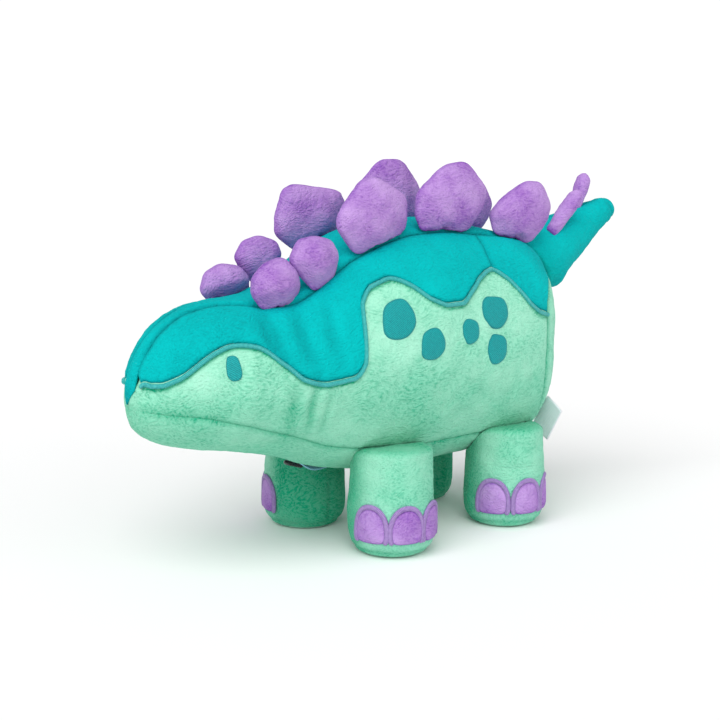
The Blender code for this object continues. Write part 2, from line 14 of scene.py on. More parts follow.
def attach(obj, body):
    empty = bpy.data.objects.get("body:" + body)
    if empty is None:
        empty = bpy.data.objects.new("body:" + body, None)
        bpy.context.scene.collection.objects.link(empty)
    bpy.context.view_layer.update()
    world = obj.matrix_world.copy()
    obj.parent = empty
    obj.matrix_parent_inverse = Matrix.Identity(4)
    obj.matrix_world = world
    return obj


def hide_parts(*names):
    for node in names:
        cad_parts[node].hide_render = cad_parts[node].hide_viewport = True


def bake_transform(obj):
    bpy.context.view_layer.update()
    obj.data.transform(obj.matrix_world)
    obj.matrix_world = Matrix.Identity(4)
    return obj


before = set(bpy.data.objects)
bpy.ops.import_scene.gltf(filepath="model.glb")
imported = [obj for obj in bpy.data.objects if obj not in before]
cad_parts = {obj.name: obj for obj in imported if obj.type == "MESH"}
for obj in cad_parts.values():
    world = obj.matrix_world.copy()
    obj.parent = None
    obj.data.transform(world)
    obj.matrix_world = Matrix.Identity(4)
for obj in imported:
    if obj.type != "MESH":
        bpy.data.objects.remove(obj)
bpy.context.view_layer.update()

MM = 0.001
MIDDLE_X = 0.4
SIDES = {"left": -1, "right": 1}

# Body outline, the same as the CAD model's.
NOSE_X, NOSE_Z, NOSE_LENGTH = -174.5, 84.0, 45.0
RUMP_X, RUMP_Z, RUMP_LENGTH = 96.8, 95.0, 43.0
ZIP_ARC_X, ZIP_ARC_Z, ZIP_ARC_R = -12.0, 254.0, 220.0
BACK = [(-178, 128.5), (-141, 128), (-120, 128.6), (-105, 130.5), (-90, 136), (-75, 144.5), (-60, 152.5),
        (-40, 160), (-20, 164), (0, 165), (20, 163.5), (40, 160), (60, 156), (99, 150)]
BELLY_FRONT = [(-178, 58.5), (-150, 60), (-133, 58.5), (-120, 56), (-105, 52.5)]
BELLY_REAR = [(0, 34), (20, 34.5), (40, 36), (60, 39), (99, 43)]
HALF_WIDTH = [(-178, 34), (-141, 34.5), (-133, 36.3), (-120, 38), (-105, 39.5), (-90, 41.5), (-75, 44),
              (-60, 46.5), (-40, 49), (-20, 50.5), (0, 51), (20, 51), (40, 50), (60, 47.5), (99, 44)]
SQUARENESS = [(-178, 1.0), (15, 1.0), (60, 0.78), (99, 0.78)]

# Seams.
PITCH = 1.15               # distance between mesh points on the cloth
CLOTH = 1.4
SWELL_PRESSURE, SWELL_FRAMES, SWELL_LIMIT = 32.0, 20, 2.2
SEAM_DIP, SEAM_ROUND = 1.5, 4.2    # how deep a seam pulls the cloth in, and from how far away
TOP_SEAM_Y = [(-178, 4), (-150, 4.5), (-141, 6.2), (-125, 9.7), (-112, 15), (-100, 20), (-90, 22), (99, 22)]
LOW_SEAM_ANGLE = [(-178, 112), (-163, 116), (-150, 117.5), (-138, 121), (-123, 126), (-105, 131), (-79, 138),
                  (50, 138), (99, 130)]
HAUNCH_SEAM_X, REAR_SEAM_X = 23.0, 71.0
HAUNCH_SLANT = [(0, 4.5), (18, 5.0), (30, 3.5), (42, 1.5), (60, 0.0), (90, 0.0)]
REAR_SLANT = [(0, 1.0), (27, 5.0), (45, 5.5), (55, 3.0), (66, -4.0), (78, -9.0), (100, -9.0), (140, -3.0)]
CAPE_EDGE = [(-171, 56), (-168, 69), (-164, 75), (-159.5, 74), (-150, 65), (-144, 60), (-136, 56.5),
             (-127, 59), (-114, 73), (-104, 85), (-91, 90), (-78, 90), (-71.5, 84), (-69.3, 68),
             (-66.5, 53), (-59, 47), (-50, 46.5), (-38, 54), (-28, 63), (-17, 67), (-8, 67), (1, 62),
             (11, 55), (22, 50.5), (30, 55.5), (38, 64), (46, 72), (56, 77), (71, 79)]
CAPE_STEP = 1.5            # how far the flank lies below the cape
CORD_HALF_WIDE, CORD_HIGH, CORD_BELOW = 1.1, 1.15, 1.3
# Embroidery: x, angle, length and height of each patch.
EYE = (-138.5, 76, 5.9, 11.3)
SPOTS = [(-50.0, 69, 19, 18), (-31.0, 84, 15.5, 14), (-4.0, 81, 12, 11.5), (15.5, 73, 19, 15.5),
         (15.0, 90, 14, 14)]
# Wrinkles: x, angle, depth and width of each.
NECK_FOLDS = [(-109, 108, 0.8, 3.4), (-99, 106, 1.3, 2.6), (-91, 112, 0.7, 2.4)]
NAPE_FOLDS = [(-117, 52, 1.6, 4.5), (-101, 58, 1.2, 4.0), (-86, 62, 0.8, 3.5)]

# Zip.
ZIP_FRONT_X, ZIP_REAR_X = -86.0, -12.0
SLOT_HALF, TAPE_HALF, COIL_HALF = 4.6, 6.5, 1.7
TAPE_PEEP = 3.6            # how far the tape's near edge comes out beside the slider
SLIDER_FRONT, SLIDER_LENGTH, SLIDER_HALF = 3.0, 9.5, 3.4

# Legs.
HIP_X, HIP_Y = 42.5, 34.0
LEG_R, SOLE_R, ANKLE_Z, SHOULDER_Z = 21.5, 14.5, 13.0, 54.0
NAIL_Z, NAIL_HEIGHT, NAIL_MIDDLE, NAIL_HALF_ANGLE = 8.0, 19.5, 6.5, 23.5
# Radius and height of the rings of a sole, from its middle around its edge.
SOLE_PROFILE = [(0.6, 0.2), (5, 0.15), (9, 0.05), (12, 0), (14.2, 0.2), (15.6, 0.7), (16.6, 1.5), (16.9, 2.3),
                (16.2, 2.8), (12, 3), (6, 3), (0.6, 3)]
NAIL_ANGLES = {"front": (198, 247, 293), "rear": (206, 257, 305)}

# Tail: centre x and z, half height, half width and lean of each ring.
TAIL_RINGS = [(88.0, 140.5, 24.0, 17.5, 47), (101.5, 140.5, 24.0, 19.5, 38), (116.0, 145.5, 19.0, 17.5, 30),
              (131.0, 151.5, 15.5, 14.0, 26), (146.0, 158.5, 12.0, 11.0, 24), (160.0, 164.0, 9.2, 8.6, 24),
              (168.0, 166.8, 7.8, 7.2, 24), (172.4, 168.2, 5.6, 5.2, 24), (174.2, 168.7, 2.6, 2.4, 24)]

# Plates: where each stands on its seam, and the corners of its outline along the seam and above it.
PLATE_X = {1: -104, 2: -81, 3: -45, 4: 7, 5: 57}
PLATE_CORNERS = {
    1: [(-9, -1), (-14.5, 7), (-13.5, 15), (-6, 21), (4, 23), (13, 17), (14.5, 6), (9, -1)],
    2: [(-4, -1), (-7.5, 10), (-10, 20.5), (-1, 26.5), (9, 23), (17, 16), (17.5, 7), (11, -1)],
    3: [(-13.5, -1), (-21, 17), (-18, 24), (1, 34.5), (11, 33), (28.5, 17), (24, 2), (17, -1)],
    4: [(-20, -1), (-25, 7), (-24.5, 19), (-6, 34), (11, 37), (27.5, 24), (26.5, 14), (15, -1)],
    5: [(-15, -1), (-21, 9), (-12, 21), (3, 33), (16, 35.5), (28, 25), (27, 15), (16, -1)],
}
RIGHT_PLATE_CORNERS = {
    **PLATE_CORNERS,
    1: [(-11, -1), (-17, 6), (-13.5, 15), (-4, 18.5), (7, 16), (12.5, 10), (12.5, 2), (8, -1)],
    2: [(-5, -1), (-9, 10), (-9.5, 19), (-1, 23.5), (9, 21), (17, 13), (17, 5), (10, -1)],
    3: [(-14, -1), (-25, 13), (-22, 22), (-13, 33.5), (-5, 34), (23, 21), (25, 13), (16, -1)],
    4: [(-18, -1), (-25, 10), (-24.5, 22), (-10, 36.5), (7, 37.5), (22, 23), (23, 12), (14, -1)],
}
PLATE_HALF_THICK = 7.0
CORNER_CUT = 0.3           # share of each side that a plate's rounded corners take up
SPIKES = {
    "tail_spike_left": ((102.5, -12.0, 154.0), (127.0, -13.5, 178.5)),
    "tail_spike_right": ((102.5, 12.0, 154.0), (127.0, 13.5, 178.5)),
    "tail_spike_end": ((139.0, 0.0, 166.0), (149.5, 0.0, 188.5)),
}
SPIKE_R = 4.8

LABEL_AT = (79.4, -28.0, 55.8)
LABEL_OUT_WAY, LABEL_TALL_WAY = (-0.10, -0.87, -0.48), (0.05, -0.480, 0.870)
LABEL_OUT, LABEL_TALL, LABEL_THICK = 14.0, 20.0, 1.0

# Painted shade on the lower flank and on the belly and chin, which face down, and a deeper colour all over the
# legs, from 0 to 1.
LOW_FLANK_SHADE, BELLY_SHADE, LEG_SHADE = 0.34, 0.36, 0.3

# Light: strength of the surroundings, and each sun's name, direction, strength and angular size.
WORLD_LIGHT = 0.45
BACKDROP_LIGHT = 1.05         # strength of the plain white backdrop that the camera sees
FLOOR_HALF = 12.0             # metres
SUNS = [("key", (-0.62, -0.30, 0.75), 2.3, 55.0), ("fill", (-0.1, -0.90, 0.42), 0.8, 80.0)]


# ---- numbers and surfaces

def curve(points, x):
    """Monotone cubic curve through (x, value) points, for an array of x."""
    px, py = np.array(points, float).T
    x = np.clip(np.asarray(x, float), px[0], px[-1])
    rise = np.diff(py) / np.diff(px)
    slope = np.zeros(len(px))
    same = rise[:-1] * rise[1:] > 0
    slope[1:-1][same] = (2 * rise[:-1] * rise[1:])[same] / (rise[:-1] + rise[1:])[same]
    i = np.clip(np.searchsorted(px, x, side="right") - 1, 0, len(px) - 2)
    width = px[i + 1] - px[i]
    t = (x - px[i]) / width
    return (py[i] * (1 + 2 * t) * (1 - t) ** 2 + py[i + 1] * t * t * (3 - 2 * t)
            + width * t * (1 - t) * (slope[i] * (1 - t) - slope[i + 1] * t))


def zip_line_z(x):
    return ZIP_ARC_Z - np.sqrt(ZIP_ARC_R ** 2 - (x - ZIP_ARC_X) ** 2)


BELLY = BELLY_FRONT + [(x, float(zip_line_z(x))) for x in (-90, -75, -60, -45, -30, -12)] + BELLY_REAR


def ease(t):
    """Smooth step from 0 to 1."""
    t = np.clip(t, 0.0, 1.0)
    return t * t * (3 - 2 * t)


def bell(distance, width):
    return np.exp(-(distance / width) ** 2)


def boxy(turn, power):
    """Cosine and sine of turn, squared off towards a rounded box as power falls below 1."""
    c, s = np.cos(turn), np.sin(turn)
    return np.sign(c) * np.abs(c) ** power, np.sign(s) * np.abs(s) ** power


def closing(x, nose_power, nose_root, rump_power):
    nose = np.clip((NOSE_X + NOSE_LENGTH - x) / NOSE_LENGTH, 0, 1)
    rump = np.clip((x - RUMP_X + RUMP_LENGTH) / RUMP_LENGTH, 0, 1)
    return (1 - nose ** nose_power) ** nose_root * (1 - rump ** rump_power) ** (1 / rump_power)


def section(x):
    """Middle height, half height, half width and squareness of the body at x."""
    close_z, close_y = closing(x, 2.0, 0.5, 3.0), closing(x, 1.3, 0.65, 2.0)
    end_z = np.where(x < 0, NOSE_Z, RUMP_Z)
    top = end_z + (curve(BACK, x) - end_z) * close_z
    low = end_z + (curve(BELLY, x) - end_z) * close_z
    return (top + low) / 2, (top - low) / 2, curve(HALF_WIDTH, x) * close_y, curve(SQUARENESS, x)


def bare_body(x, angle):
    mid, half, width, square = section(x)
    up, side = boxy(np.radians(angle), square)
    return np.stack([x + 0 * side, width * side, mid + half * up], axis=-1)


def unit(v):
    return v / np.maximum(np.linalg.norm(v, axis=-1, keepdims=True), 1e-9)


def body_normal(x, angle):
    step = np.minimum(0.3, np.minimum((x - NOSE_X) / 2, (RUMP_X - x) / 2))
    along = bare_body(x + step, angle) - bare_body(x - step, angle)
    around = bare_body(x, angle + 0.5) - bare_body(x, angle - 0.5)
    return unit(np.cross(along, around))


def body_points(x, angle, out=0.0):
    """Points on the body at x and angle (degrees from the ridge, positive to +Y), moved out by out."""
    x, angle = np.broadcast_arrays(np.asarray(x, float), np.asarray(angle, float))
    return bare_body(x, angle) + body_normal(x, angle) * np.asarray(out)[..., None]


def mm_per_degree(x):
    _, half, width, _ = section(x)
    return np.maximum(4.0, (half + width) / 2) * pi / 180


def slant(x, angle):
    """Moves x so that straight rows follow the slanting haunch and rear seams."""
    a = np.abs(angle)
    haunch = curve(HAUNCH_SLANT, a) * bell(x - HAUNCH_SEAM_X, 10.0)
    rear = curve(REAR_SLANT, a) * np.where(x < REAR_SEAM_X, ease((x - 36) / (REAR_SEAM_X - 36)),
                                           1 - np.clip((x - REAR_SEAM_X) / (RUMP_X - REAR_SEAM_X), 0, 1))
    return x + haunch + rear


def top_seam(x):
    _, _, width, square = section(x)
    share = np.clip(curve(TOP_SEAM_Y, x) / np.maximum(width, 1e-6), 0, None) ** (1 / square)
    return np.degrees(np.arcsin(np.minimum(0.85, share)))


def low_seam(x):
    return curve(LOW_SEAM_ANGLE, x)


def cape_edge(x):
    """Angle of the cape's edge on row x, where rows slant."""
    a = curve(CAPE_EDGE, x)
    for _ in range(4):
        a = curve(CAPE_EDGE, slant(x, a))
    return a


def smooth_noise(points, size, seed):
    """Value noise between -1 and 1, with features about size across."""
    flat = np.asarray(points, float).reshape(-1, 3) / size
    base = np.floor(flat).astype(np.int64)
    f = flat - base
    f = f * f * (3 - 2 * f)
    total = np.zeros(len(flat))
    for corner in range(8):
        offset = np.array([(corner >> k) & 1 for k in range(3)])
        n = base + offset
        h = n[:, 0] * 374761393 + n[:, 1] * 668265263 + n[:, 2] * 1274126177 + seed * 974634777
        h = h & 0xFFFFFFFF
        h = ((h ^ (h >> 13)) * 1274126177) & 0xFFFFFFFF
        value = ((h ^ (h >> 16)) & 0xFFFF) / 32767.5 - 1
        total += value * np.prod(np.where(offset, f, 1 - f), axis=1)
    return total.reshape(np.asarray(points).shape[:-1])


def relief(points, large=0.7, small=0.3, pile=0.22):
    """Unevenness of stuffed plush: soft lumps, small dents and tufts of pile."""
    return (large * smooth_noise(points, 24.0, 1) + small * smooth_noise(points, 8.0, 2)
            + pile * smooth_noise(points, 2.4, 3))


# ---- meshes

def make_piece(name, points, faces, material, shade=None, along=None):
    """Smooth mesh from millimetre points. shade is painted shade, with a deeper colour on the legs, and along
    is millimetres down a cord.
    """
    world = (np.asarray(points, float).reshape(-1, 3) - (MIDDLE_X, 0.0, 0.0)) * MM
    mesh = bpy.data.meshes.new(name)
    mesh.from_pydata(world.tolist(), [], faces if isinstance(faces, list) else faces.tolist())
    mesh.polygons.foreach_set("use_smooth", [True] * len(mesh.polygons))
    for label, values in (("shade", shade), ("along", along)):
        if values is not None:
            layer = mesh.attributes.new(label, "FLOAT", "POINT")
            layer.data.foreach_set("value", np.asarray(values, np.float32).ravel())
    mesh.materials.append(material)
    mesh.update()
    piece = bpy.data.objects.new(name, mesh)
    bpy.context.scene.collection.objects.link(piece)
    return piece


def quads(rows, columns, wrap):
    """Faces of a grid of points numbered row by row."""
    r = np.arange(rows - 1)[:, None]
    c = np.arange(columns if wrap else columns - 1)[None, :]
    d = (c + 1) % columns
    a = r * columns
    return np.stack([a + c, a + d, a + columns + d, a + columns + c], axis=-1).reshape(-1, 4)


def shell_faces(faces, count):
    """Faces of a closed shell: the outer layer, the inner layer count points on, and the rim between."""
    edges = {}
    for f in faces.tolist():
        for a, b in zip(f, f[1:] + f[:1]):
            key = (min(a, b), max(a, b))
            edges[key] = None if key in edges else (a, b)
    rim = [(b, a, a + count, b + count) for a, b in (e for e in edges.values() if e is not None)]
    return faces.tolist() + (faces[:, ::-1] + count).tolist() + [list(f) for f in rim]


def stations(start, end):
    """Rows along the body, close together over the rounded nose and rump."""
    nose_end, rump_start = NOSE_X + NOSE_LENGTH, RUMP_X - RUMP_LENGTH
    t = np.linspace(0.0, pi / 2, 70)[1:]
    marks = np.concatenate([nose_end - NOSE_LENGTH * np.sin(t), np.arange(nose_end, rump_start, PITCH),
                            rump_start + RUMP_LENGTH * np.sin(t[:-1])])
    marks = np.sort(marks[(marks > start + 0.3) & (marks < end - 0.3)])
    return np.concatenate([[start], marks, [end]])


def body_panel(name, start, end, low, high, material, lift=0.0, thick=CLOTH, dip=(1, 1, 1, 1), shape=None,
               hole=None, fold=1.0, line=None):
    """Sewn cloth panel on the body from row start to end and from angle low(x) to high(x).

    dip says how strongly each edge (low, high, front, rear) is pulled into its seam, shape(x, angle)
    adds height, line(x, angle) adds painted shade, and hole(x) is half the opening in the middle.
    """
    rows = stations(start, end)
    wide = np.abs(high(rows) - low(rows)) * mm_per_degree(rows)
    columns = max(6, int(wide.max() / PITCH)) // 2 * 2 + 2
    part = np.linspace(0, 1, columns)
    if hole is not None:
        gap = hole(rows)
        lower = np.linspace(0, 1, columns // 2)[None, :]
        left = low(rows)[:, None] + (180 - gap - low(rows))[:, None] * lower
        angle = np.concatenate([left, 360 - left[:, ::-1]], axis=1)
    else:
        angle = low(rows)[:, None] + (high(rows) - low(rows))[:, None] * part[None, :]
    row = rows[:, None] + 0 * angle
    x = slant(row, angle)
    scale = mm_per_degree(row)
    gaps = [np.abs(angle - low(rows)[:, None]) * scale, np.abs(angle - high(rows)[:, None]) * scale,
            row - start, end - row]
    bare = bare_body(x, angle)
    pucker = 1 + 0.25 * smooth_noise(bare, 5.0, 7)
    pulled = np.zeros_like(x)
    for amount, gap_mm in zip(dip, gaps):
        pulled = np.maximum(pulled, amount * (1 - np.clip(gap_mm / SEAM_ROUND, 0, 1)) ** 2.2)
    near_nose = 0.25 + 0.75 * ease((x - NOSE_X) / 14)
    height = lift - SEAM_DIP * pulled * pucker * near_nose + relief(bare) * (1 - 0.6 * pulled)
    height += fold * folds(x, angle)
    if shape is not None:
        height += shape(x, angle, row)
    normal = body_normal(x, angle)
    outer = bare + normal * height[..., None]
    inner = bare + normal * (height - thick)[..., None]
    faces = quads(len(rows), columns, False)
    if hole is not None:
        r, c = np.divmod(faces[:, 0], columns)
        open_row = (hole(rows)[r] > 0.5) & (hole(rows)[np.minimum(r + 1, len(rows) - 1)] > 0.5)
        faces = faces[~((c == columns // 2 - 1) & open_row)]
    if angle[0, -1] < angle[0, 0]:
        faces = faces[:, ::-1]
    count = outer.size // 3
    # Painted shade in the seams, where the cloth is pulled in, and in the dips of the wrinkles.
    shade = np.clip(pulled * 1.1 * near_nose, 0, 1) + 0.5 * np.clip(-fold * folds(x, angle), 0, 1)
    if line is not None:
        shade = shade + line(x, angle, row)
    return make_piece(name, np.concatenate([outer.reshape(-1, 3), inner.reshape(-1, 3)]),
                      shell_faces(faces, count), material, np.tile(np.clip(shade, 0, 1).ravel(), 2))


def folds(x, angle):
    """Soft wrinkles of the neck, below the cape and across it."""
    a = np.abs(np.where(angle > 180, 360 - angle, angle))
    total = np.zeros_like(x)
    for group, reach in ((NECK_FOLDS, 17.0), (NAPE_FOLDS, 22.0)):
        for at, middle, depth, width in group:
            bend = 5.0 * ((a - middle) / 30) ** 2
            total -= depth * bell(x - at - bend, width) * bell(a - middle, reach)
            total += 0.5 * depth * bell(x - at - bend - 2.1 * width, width) * bell(a - middle, reach)
    return total


def grid_normals(points):
    """Outward normals of a grid of rings."""
    along = np.gradient(points, axis=0)
    around = np.roll(points, -1, axis=1) - np.roll(points, 1, axis=1)
    normal = unit(np.cross(along, around))
    centre = points.mean(axis=1, keepdims=True)
    if (normal * (points - centre)).sum() < 0:
        normal = -normal
    return normal


def closed_rings(name, rings, material, shade=None, along=None):
    """Closed form through a grid of rings, with a point closing each end."""
    rings = np.asarray(rings, float)
    rows, columns, _ = rings.shape
    ends = np.stack([rings[0].mean(axis=0), rings[-1].mean(axis=0)])
    faces = quads(rows, columns, True).tolist()
    first, last = rows * columns, rows * columns + 1
    for c in range(columns):
        d = (c + 1) % columns
        faces.append([first, d, c])
        faces.append([last, (rows - 1) * columns + c, (rows - 1) * columns + d])
    points = np.concatenate([rings.reshape(-1, 3), ends])
    extra = {}
    for key, values in (("shade", shade), ("along", along)):
        if values is not None:
            values = np.asarray(values, float).reshape(rows, columns)
            extra[key] = np.concatenate([values.ravel(), [values[0].mean(), values[-1].mean()]])
    piece = make_piece(name, points, faces, material, **extra)
    fix_normals(piece)
    return piece


def fix_normals(piece):
    """Turns the faces of a closed mesh outward."""
    shape = bmesh.new()
    shape.from_mesh(piece.data)
    bmesh.ops.recalc_face_normals(shape, faces=shape.faces)
    shape.to_mesh(piece.data)
    shape.free()


def swell(piece):
    """Fills a closed cover with a short cloth simulation under pressure; no point moves past the limit."""
    scene = bpy.context.scene
    before = np.empty(len(piece.data.vertices) * 3, np.float32)
    after = np.empty_like(before)
    piece.data.vertices.foreach_get("co", before)
    cloth = piece.modifiers.new("cloth", "CLOTH")
    cloth.settings.use_pressure = True
    cloth.settings.uniform_pressure_force = SWELL_PRESSURE
    cloth.settings.effector_weights.gravity = 0.0
    cloth.collision_settings.use_collision = False
    for number in range(1, SWELL_FRAMES + 1):
        scene.frame_set(number)
    settled = piece.evaluated_get(bpy.context.evaluated_depsgraph_get())
    settled.data.vertices.foreach_get("co", after)
    piece.modifiers.remove(cloth)
    move = (after - before).reshape(-1, 3)
    share = np.minimum(1.0, SWELL_LIMIT * MM / np.maximum(np.linalg.norm(move, axis=1), 1e-9))
    piece.data.vertices.foreach_set("co", before + (move * share[:, None]).ravel())
    piece.data.update()
    scene.frame_set(1)


def tube(name, path, normals, half_wide, high, material, sides=12):
    """Flattened cord along a path: half_wide across the surface and high above it."""
    path = np.asarray(path, float)
    ahead = unit(np.gradient(path, axis=0))
    up = unit(normals - ahead * (normals * ahead).sum(-1, keepdims=True))
    across = np.cross(ahead, up)
    length = np.concatenate([[0], np.cumsum(np.linalg.norm(np.diff(path, axis=0), axis=1))])
    end = np.minimum(length, length[-1] - length)
    size = np.sqrt(np.clip(end / 1.2, 0.03, 1))[:, None, None]
    turn = 2 * pi * np.arange(sides) / sides
    rings = path[:, None] + size * (across[:, None] * (half_wide * np.cos(turn))[None, :, None]
                                    + up[:, None] * (high * np.sin(turn))[None, :, None])
    return closed_rings(name, rings, material, along=length[:, None] + 0 * turn[None, :])


# ---- materials

class Nodes:
    """Short way to build a material's node tree."""

    def __init__(self, name):
        self.material = bpy.data.materials.new(name)
        self.material.use_nodes = True
        self.tree = self.material.node_tree
        self.shader = self.tree.nodes["Principled BSDF"]

    def add(self, kind, **settings):
        node = self.tree.nodes.new(kind)
        for key, value in settings.items():
            setattr(node, key, value)
        return node

    def link(self, source, target):
        self.tree.links.new(source, target)

    def math(self, operation, a, b=None):
        node = self.add("ShaderNodeMath", operation=operation)
        for socket, value in zip(node.inputs, (a, b)):
            if value is None:
                continue
            if isinstance(value, (int, float)):
                socket.default_value = value
            else:
                self.link(value, socket)
        return node.outputs[0]

    def noise(self, vector, scale, detail=2.0, distortion=0.0):
        node = self.add("ShaderNodeTexNoise")
        node.inputs["Scale"].default_value = scale
        node.inputs["Detail"].default_value = detail
        node.inputs["Distortion"].default_value = distortion
        self.link(vector, node.inputs["Vector"])
        return node.outputs["Fac"]

    def stretch(self, vector, scale):
        node = self.add("ShaderNodeVectorMath", operation="MULTIPLY")
        node.inputs[1].default_value = scale
        self.link(vector, node.inputs[0])
        return node.outputs[0]

    def span(self, value, low, high):
        """value rescaled so that low becomes 0 and high becomes 1."""
        node = self.add("ShaderNodeMapRange")
        node.inputs["From Min"].default_value = low
        node.inputs["From Max"].default_value = high
        self.link(value, node.inputs["Value"])
        return node.outputs["Result"]

    def mix(self, factor, a, b):
        node = self.add("ShaderNodeMix", data_type="RGBA")
        self.link(factor, node.inputs["Factor"])
        for socket, value in ((node.inputs[6], a), (node.inputs[7], b)):
            if isinstance(value, tuple):
                socket.default_value = (*value, 1.0)
            else:
                self.link(value, socket)
        return node.outputs[2]

    def attribute(self, name):
        return self.add("ShaderNodeAttribute", attribute_name=name).outputs["Fac"]

    def bump(self, height, distance, strength, below=None):
        node = self.add("ShaderNodeBump")
        node.inputs["Distance"].default_value = distance
        node.inputs["Strength"].default_value = strength
        self.link(height, node.inputs["Height"])
        if below is not None:
            self.link(below, node.inputs["Normal"])
        return node.outputs["Normal"]

    def place(self):
        return self.add("ShaderNodeTexCoord").outputs["Object"]

    def finish(self, colour, normal, roughness, **constants):
        self.link(colour, self.shader.inputs["Base Color"])
        self.link(normal, self.shader.inputs["Normal"])
        self.shader.inputs["Roughness"].default_value = roughness
        for key, value in constants.items():
            self.shader.inputs[key.replace("_", " ")].default_value = value
        return self.material


def plush(name, light, deep, pale, streaks, patch_scale=42.0, sheen=0.25):
    """Short pile cloth: brushed patches, curling streaks of deeper colour, pale tips, fine grain and painted
    shade.
    """
    n = Nodes(name)
    place = n.place()
    warp = n.add("ShaderNodeTexNoise")
    warp.inputs["Scale"].default_value = 60.0
    warp.inputs["Detail"].default_value = 1.0
    n.link(place, warp.inputs["Vector"])
    bent = n.add("ShaderNodeVectorMath", operation="MULTIPLY_ADD")
    bent.inputs[1].default_value = (0.012, 0.012, 0.012)
    n.link(warp.outputs["Color"], bent.inputs[0])
    n.link(place, bent.inputs[2])
    streak = n.noise(n.stretch(bent.outputs[0], (0.36, 1.0, 1.0)), 1000.0, 2.0)
    fine = n.noise(n.stretch(place, (0.7, 1.0, 1.0)), 1500.0, 2.0)
    patch = n.noise(place, patch_scale, 3.0)
    dark = n.math("MULTIPLY", n.span(streak, 0.44, 0.70), n.span(patch, 0.34, 0.66))
    dark = n.math("MULTIPLY", dark, streaks)
    dark = n.math("ADD", dark, n.math("MULTIPLY", n.span(fine, 0.52, 0.75), 0.22))
    # The shade attribute mixes painted shade, and on the legs a deeper colour, towards the deep colour.
    dark = n.math("ADD", dark, n.math("MULTIPLY", n.attribute("shade"), 0.75))
    brushed = n.mix(n.span(patch, 0.32, 0.70), pale, light)
    tips = n.mix(n.math("MULTIPLY", n.span(fine, 0.5, 0.3), 0.35), brushed, pale)
    colour = n.mix(n.span(dark, 0.0, 1.0), tips, deep)
    coarse = n.bump(streak, 0.0011, 0.75)
    normal = n.bump(fine, 0.0005, 0.55, coarse)
    return n.finish(colour, normal, 0.92, Sheen_Weight=sheen, Sheen_Roughness=0.5, Specular_IOR_Level=0.08,
                    Sheen_Tint=(*pale, 1.0))


def satin(name, light, deep, pitch, gloss=0.38):
    """Close satin stitching whose threads cross a cord; along counts millimetres down the cord."""
    n = Nodes(name)
    thread_and_painted_shade = n.math("SINE", n.math("MULTIPLY", n.attribute("along"), 2 * pi / pitch))
    wobble = n.noise(n.place(), 900.0, 2.0)
    ridge = n.math("ADD", n.math("MULTIPLY", thread_and_painted_shade, 0.5), wobble)
    colour = n.mix(n.span(ridge, 0.0, 1.0), deep, light)
    normal = n.bump(ridge, 0.00035, 0.8)
    return n.finish(colour, normal, gloss, Sheen_Weight=0.0, Specular_IOR_Level=0.4)


def embroidery(name, light, deep, direction):
    """Flat fill stitching in slanting rows of short threads, darkened by painted shade from the shade
    attribute.
    """
    n = Nodes(name)
    place = n.place()
    rows = n.add("ShaderNodeTexWave", wave_type="BANDS", bands_direction="DIAGONAL")
    rows.inputs["Scale"].default_value = 520.0
    rows.inputs["Distortion"].default_value = 2.2
    rows.inputs["Detail"].default_value = 1.5
    rows.inputs["Detail Scale"].default_value = 2.0
    n.link(n.stretch(place, direction), rows.inputs["Vector"])
    grain = n.noise(place, 1100.0, 2.0)
    lit = n.math("ADD", n.math("MULTIPLY", rows.outputs["Fac"], 0.6), n.math("MULTIPLY", grain, 0.5))
    colour = n.mix(n.span(lit, 0.2, 0.85), deep, light)
    # The shade attribute mixes painted shade towards the deep colour.
    colour = n.mix(n.math("MULTIPLY", n.attribute("shade"), 0.8), colour, deep)
    return n.finish(colour, n.bump(lit, 0.0004, 0.7), 0.5, Sheen_Weight=0.0, Specular_IOR_Level=0.3)


def woven(name, light, deep, scale, roughness=0.8):
    """Plain woven tape or ribbon."""
    n = Nodes(name)
    place = n.place()
    bands = []
    for direction in ("X", "Z"):
        wave = n.add("ShaderNodeTexWave", wave_type="BANDS", bands_direction=direction)
        wave.inputs["Scale"].default_value = scale
        wave.inputs["Distortion"].default_value = 0.6
        n.link(place, wave.inputs["Vector"])
        bands.append(wave.outputs["Fac"])
    weave = n.math("MULTIPLY", *bands)
    colour = n.mix(n.span(weave, 0.0, 0.8), deep, light)
    return n.finish(colour, n.bump(weave, 0.0002, 0.6), roughness, Sheen_Weight=0.1, Specular_IOR_Level=0.3)


MINT = plush("mint_pile", (0.26, 0.70, 0.50), (0.003, 0.34, 0.18), (0.38, 0.78, 0.59), 0.5)
TEAL = plush("teal_pile", (0.0, 0.40, 0.41), (0.0, 0.20, 0.215), (0.0, 0.48, 0.48), 0.3, 30.0, 0.03)
PURPLE = plush("purple_pile", (0.34, 0.16, 0.51), (0.14, 0.03, 0.34), (0.50, 0.31, 0.66), 0.55, 60.0)
THREAD = satin("teal_satin", (0.09, 0.62, 0.59), (0.004, 0.33, 0.33), 0.55, 0.3)
LILAC = satin("lilac_satin", (0.50, 0.34, 0.68), (0.24, 0.12, 0.42), 0.6)
FILL = embroidery("teal_embroidery", (0.005, 0.40, 0.41), (0.0, 0.20, 0.21), (1.0, 0.2, 1.15))
FIBRE = plush("white_fibre", (0.85, 0.85, 0.84), (0.55, 0.55, 0.55), (0.95, 0.95, 0.95), 0.5)
TAPE = woven("pale_blue_tape", (0.42, 0.68, 0.82), (0.16, 0.36, 0.55), 700.0)
COIL = satin("blue_coil", (0.03, 0.23, 0.43), (0.004, 0.05, 0.12), 1.2, 0.3)
BLACK = woven("black_plastic", (0.018, 0.018, 0.02), (0.006, 0.006, 0.007), 300.0, 0.32)
RIBBON = woven("white_ribbon", (0.93, 0.95, 0.98), (0.84, 0.88, 0.94), 1500.0)


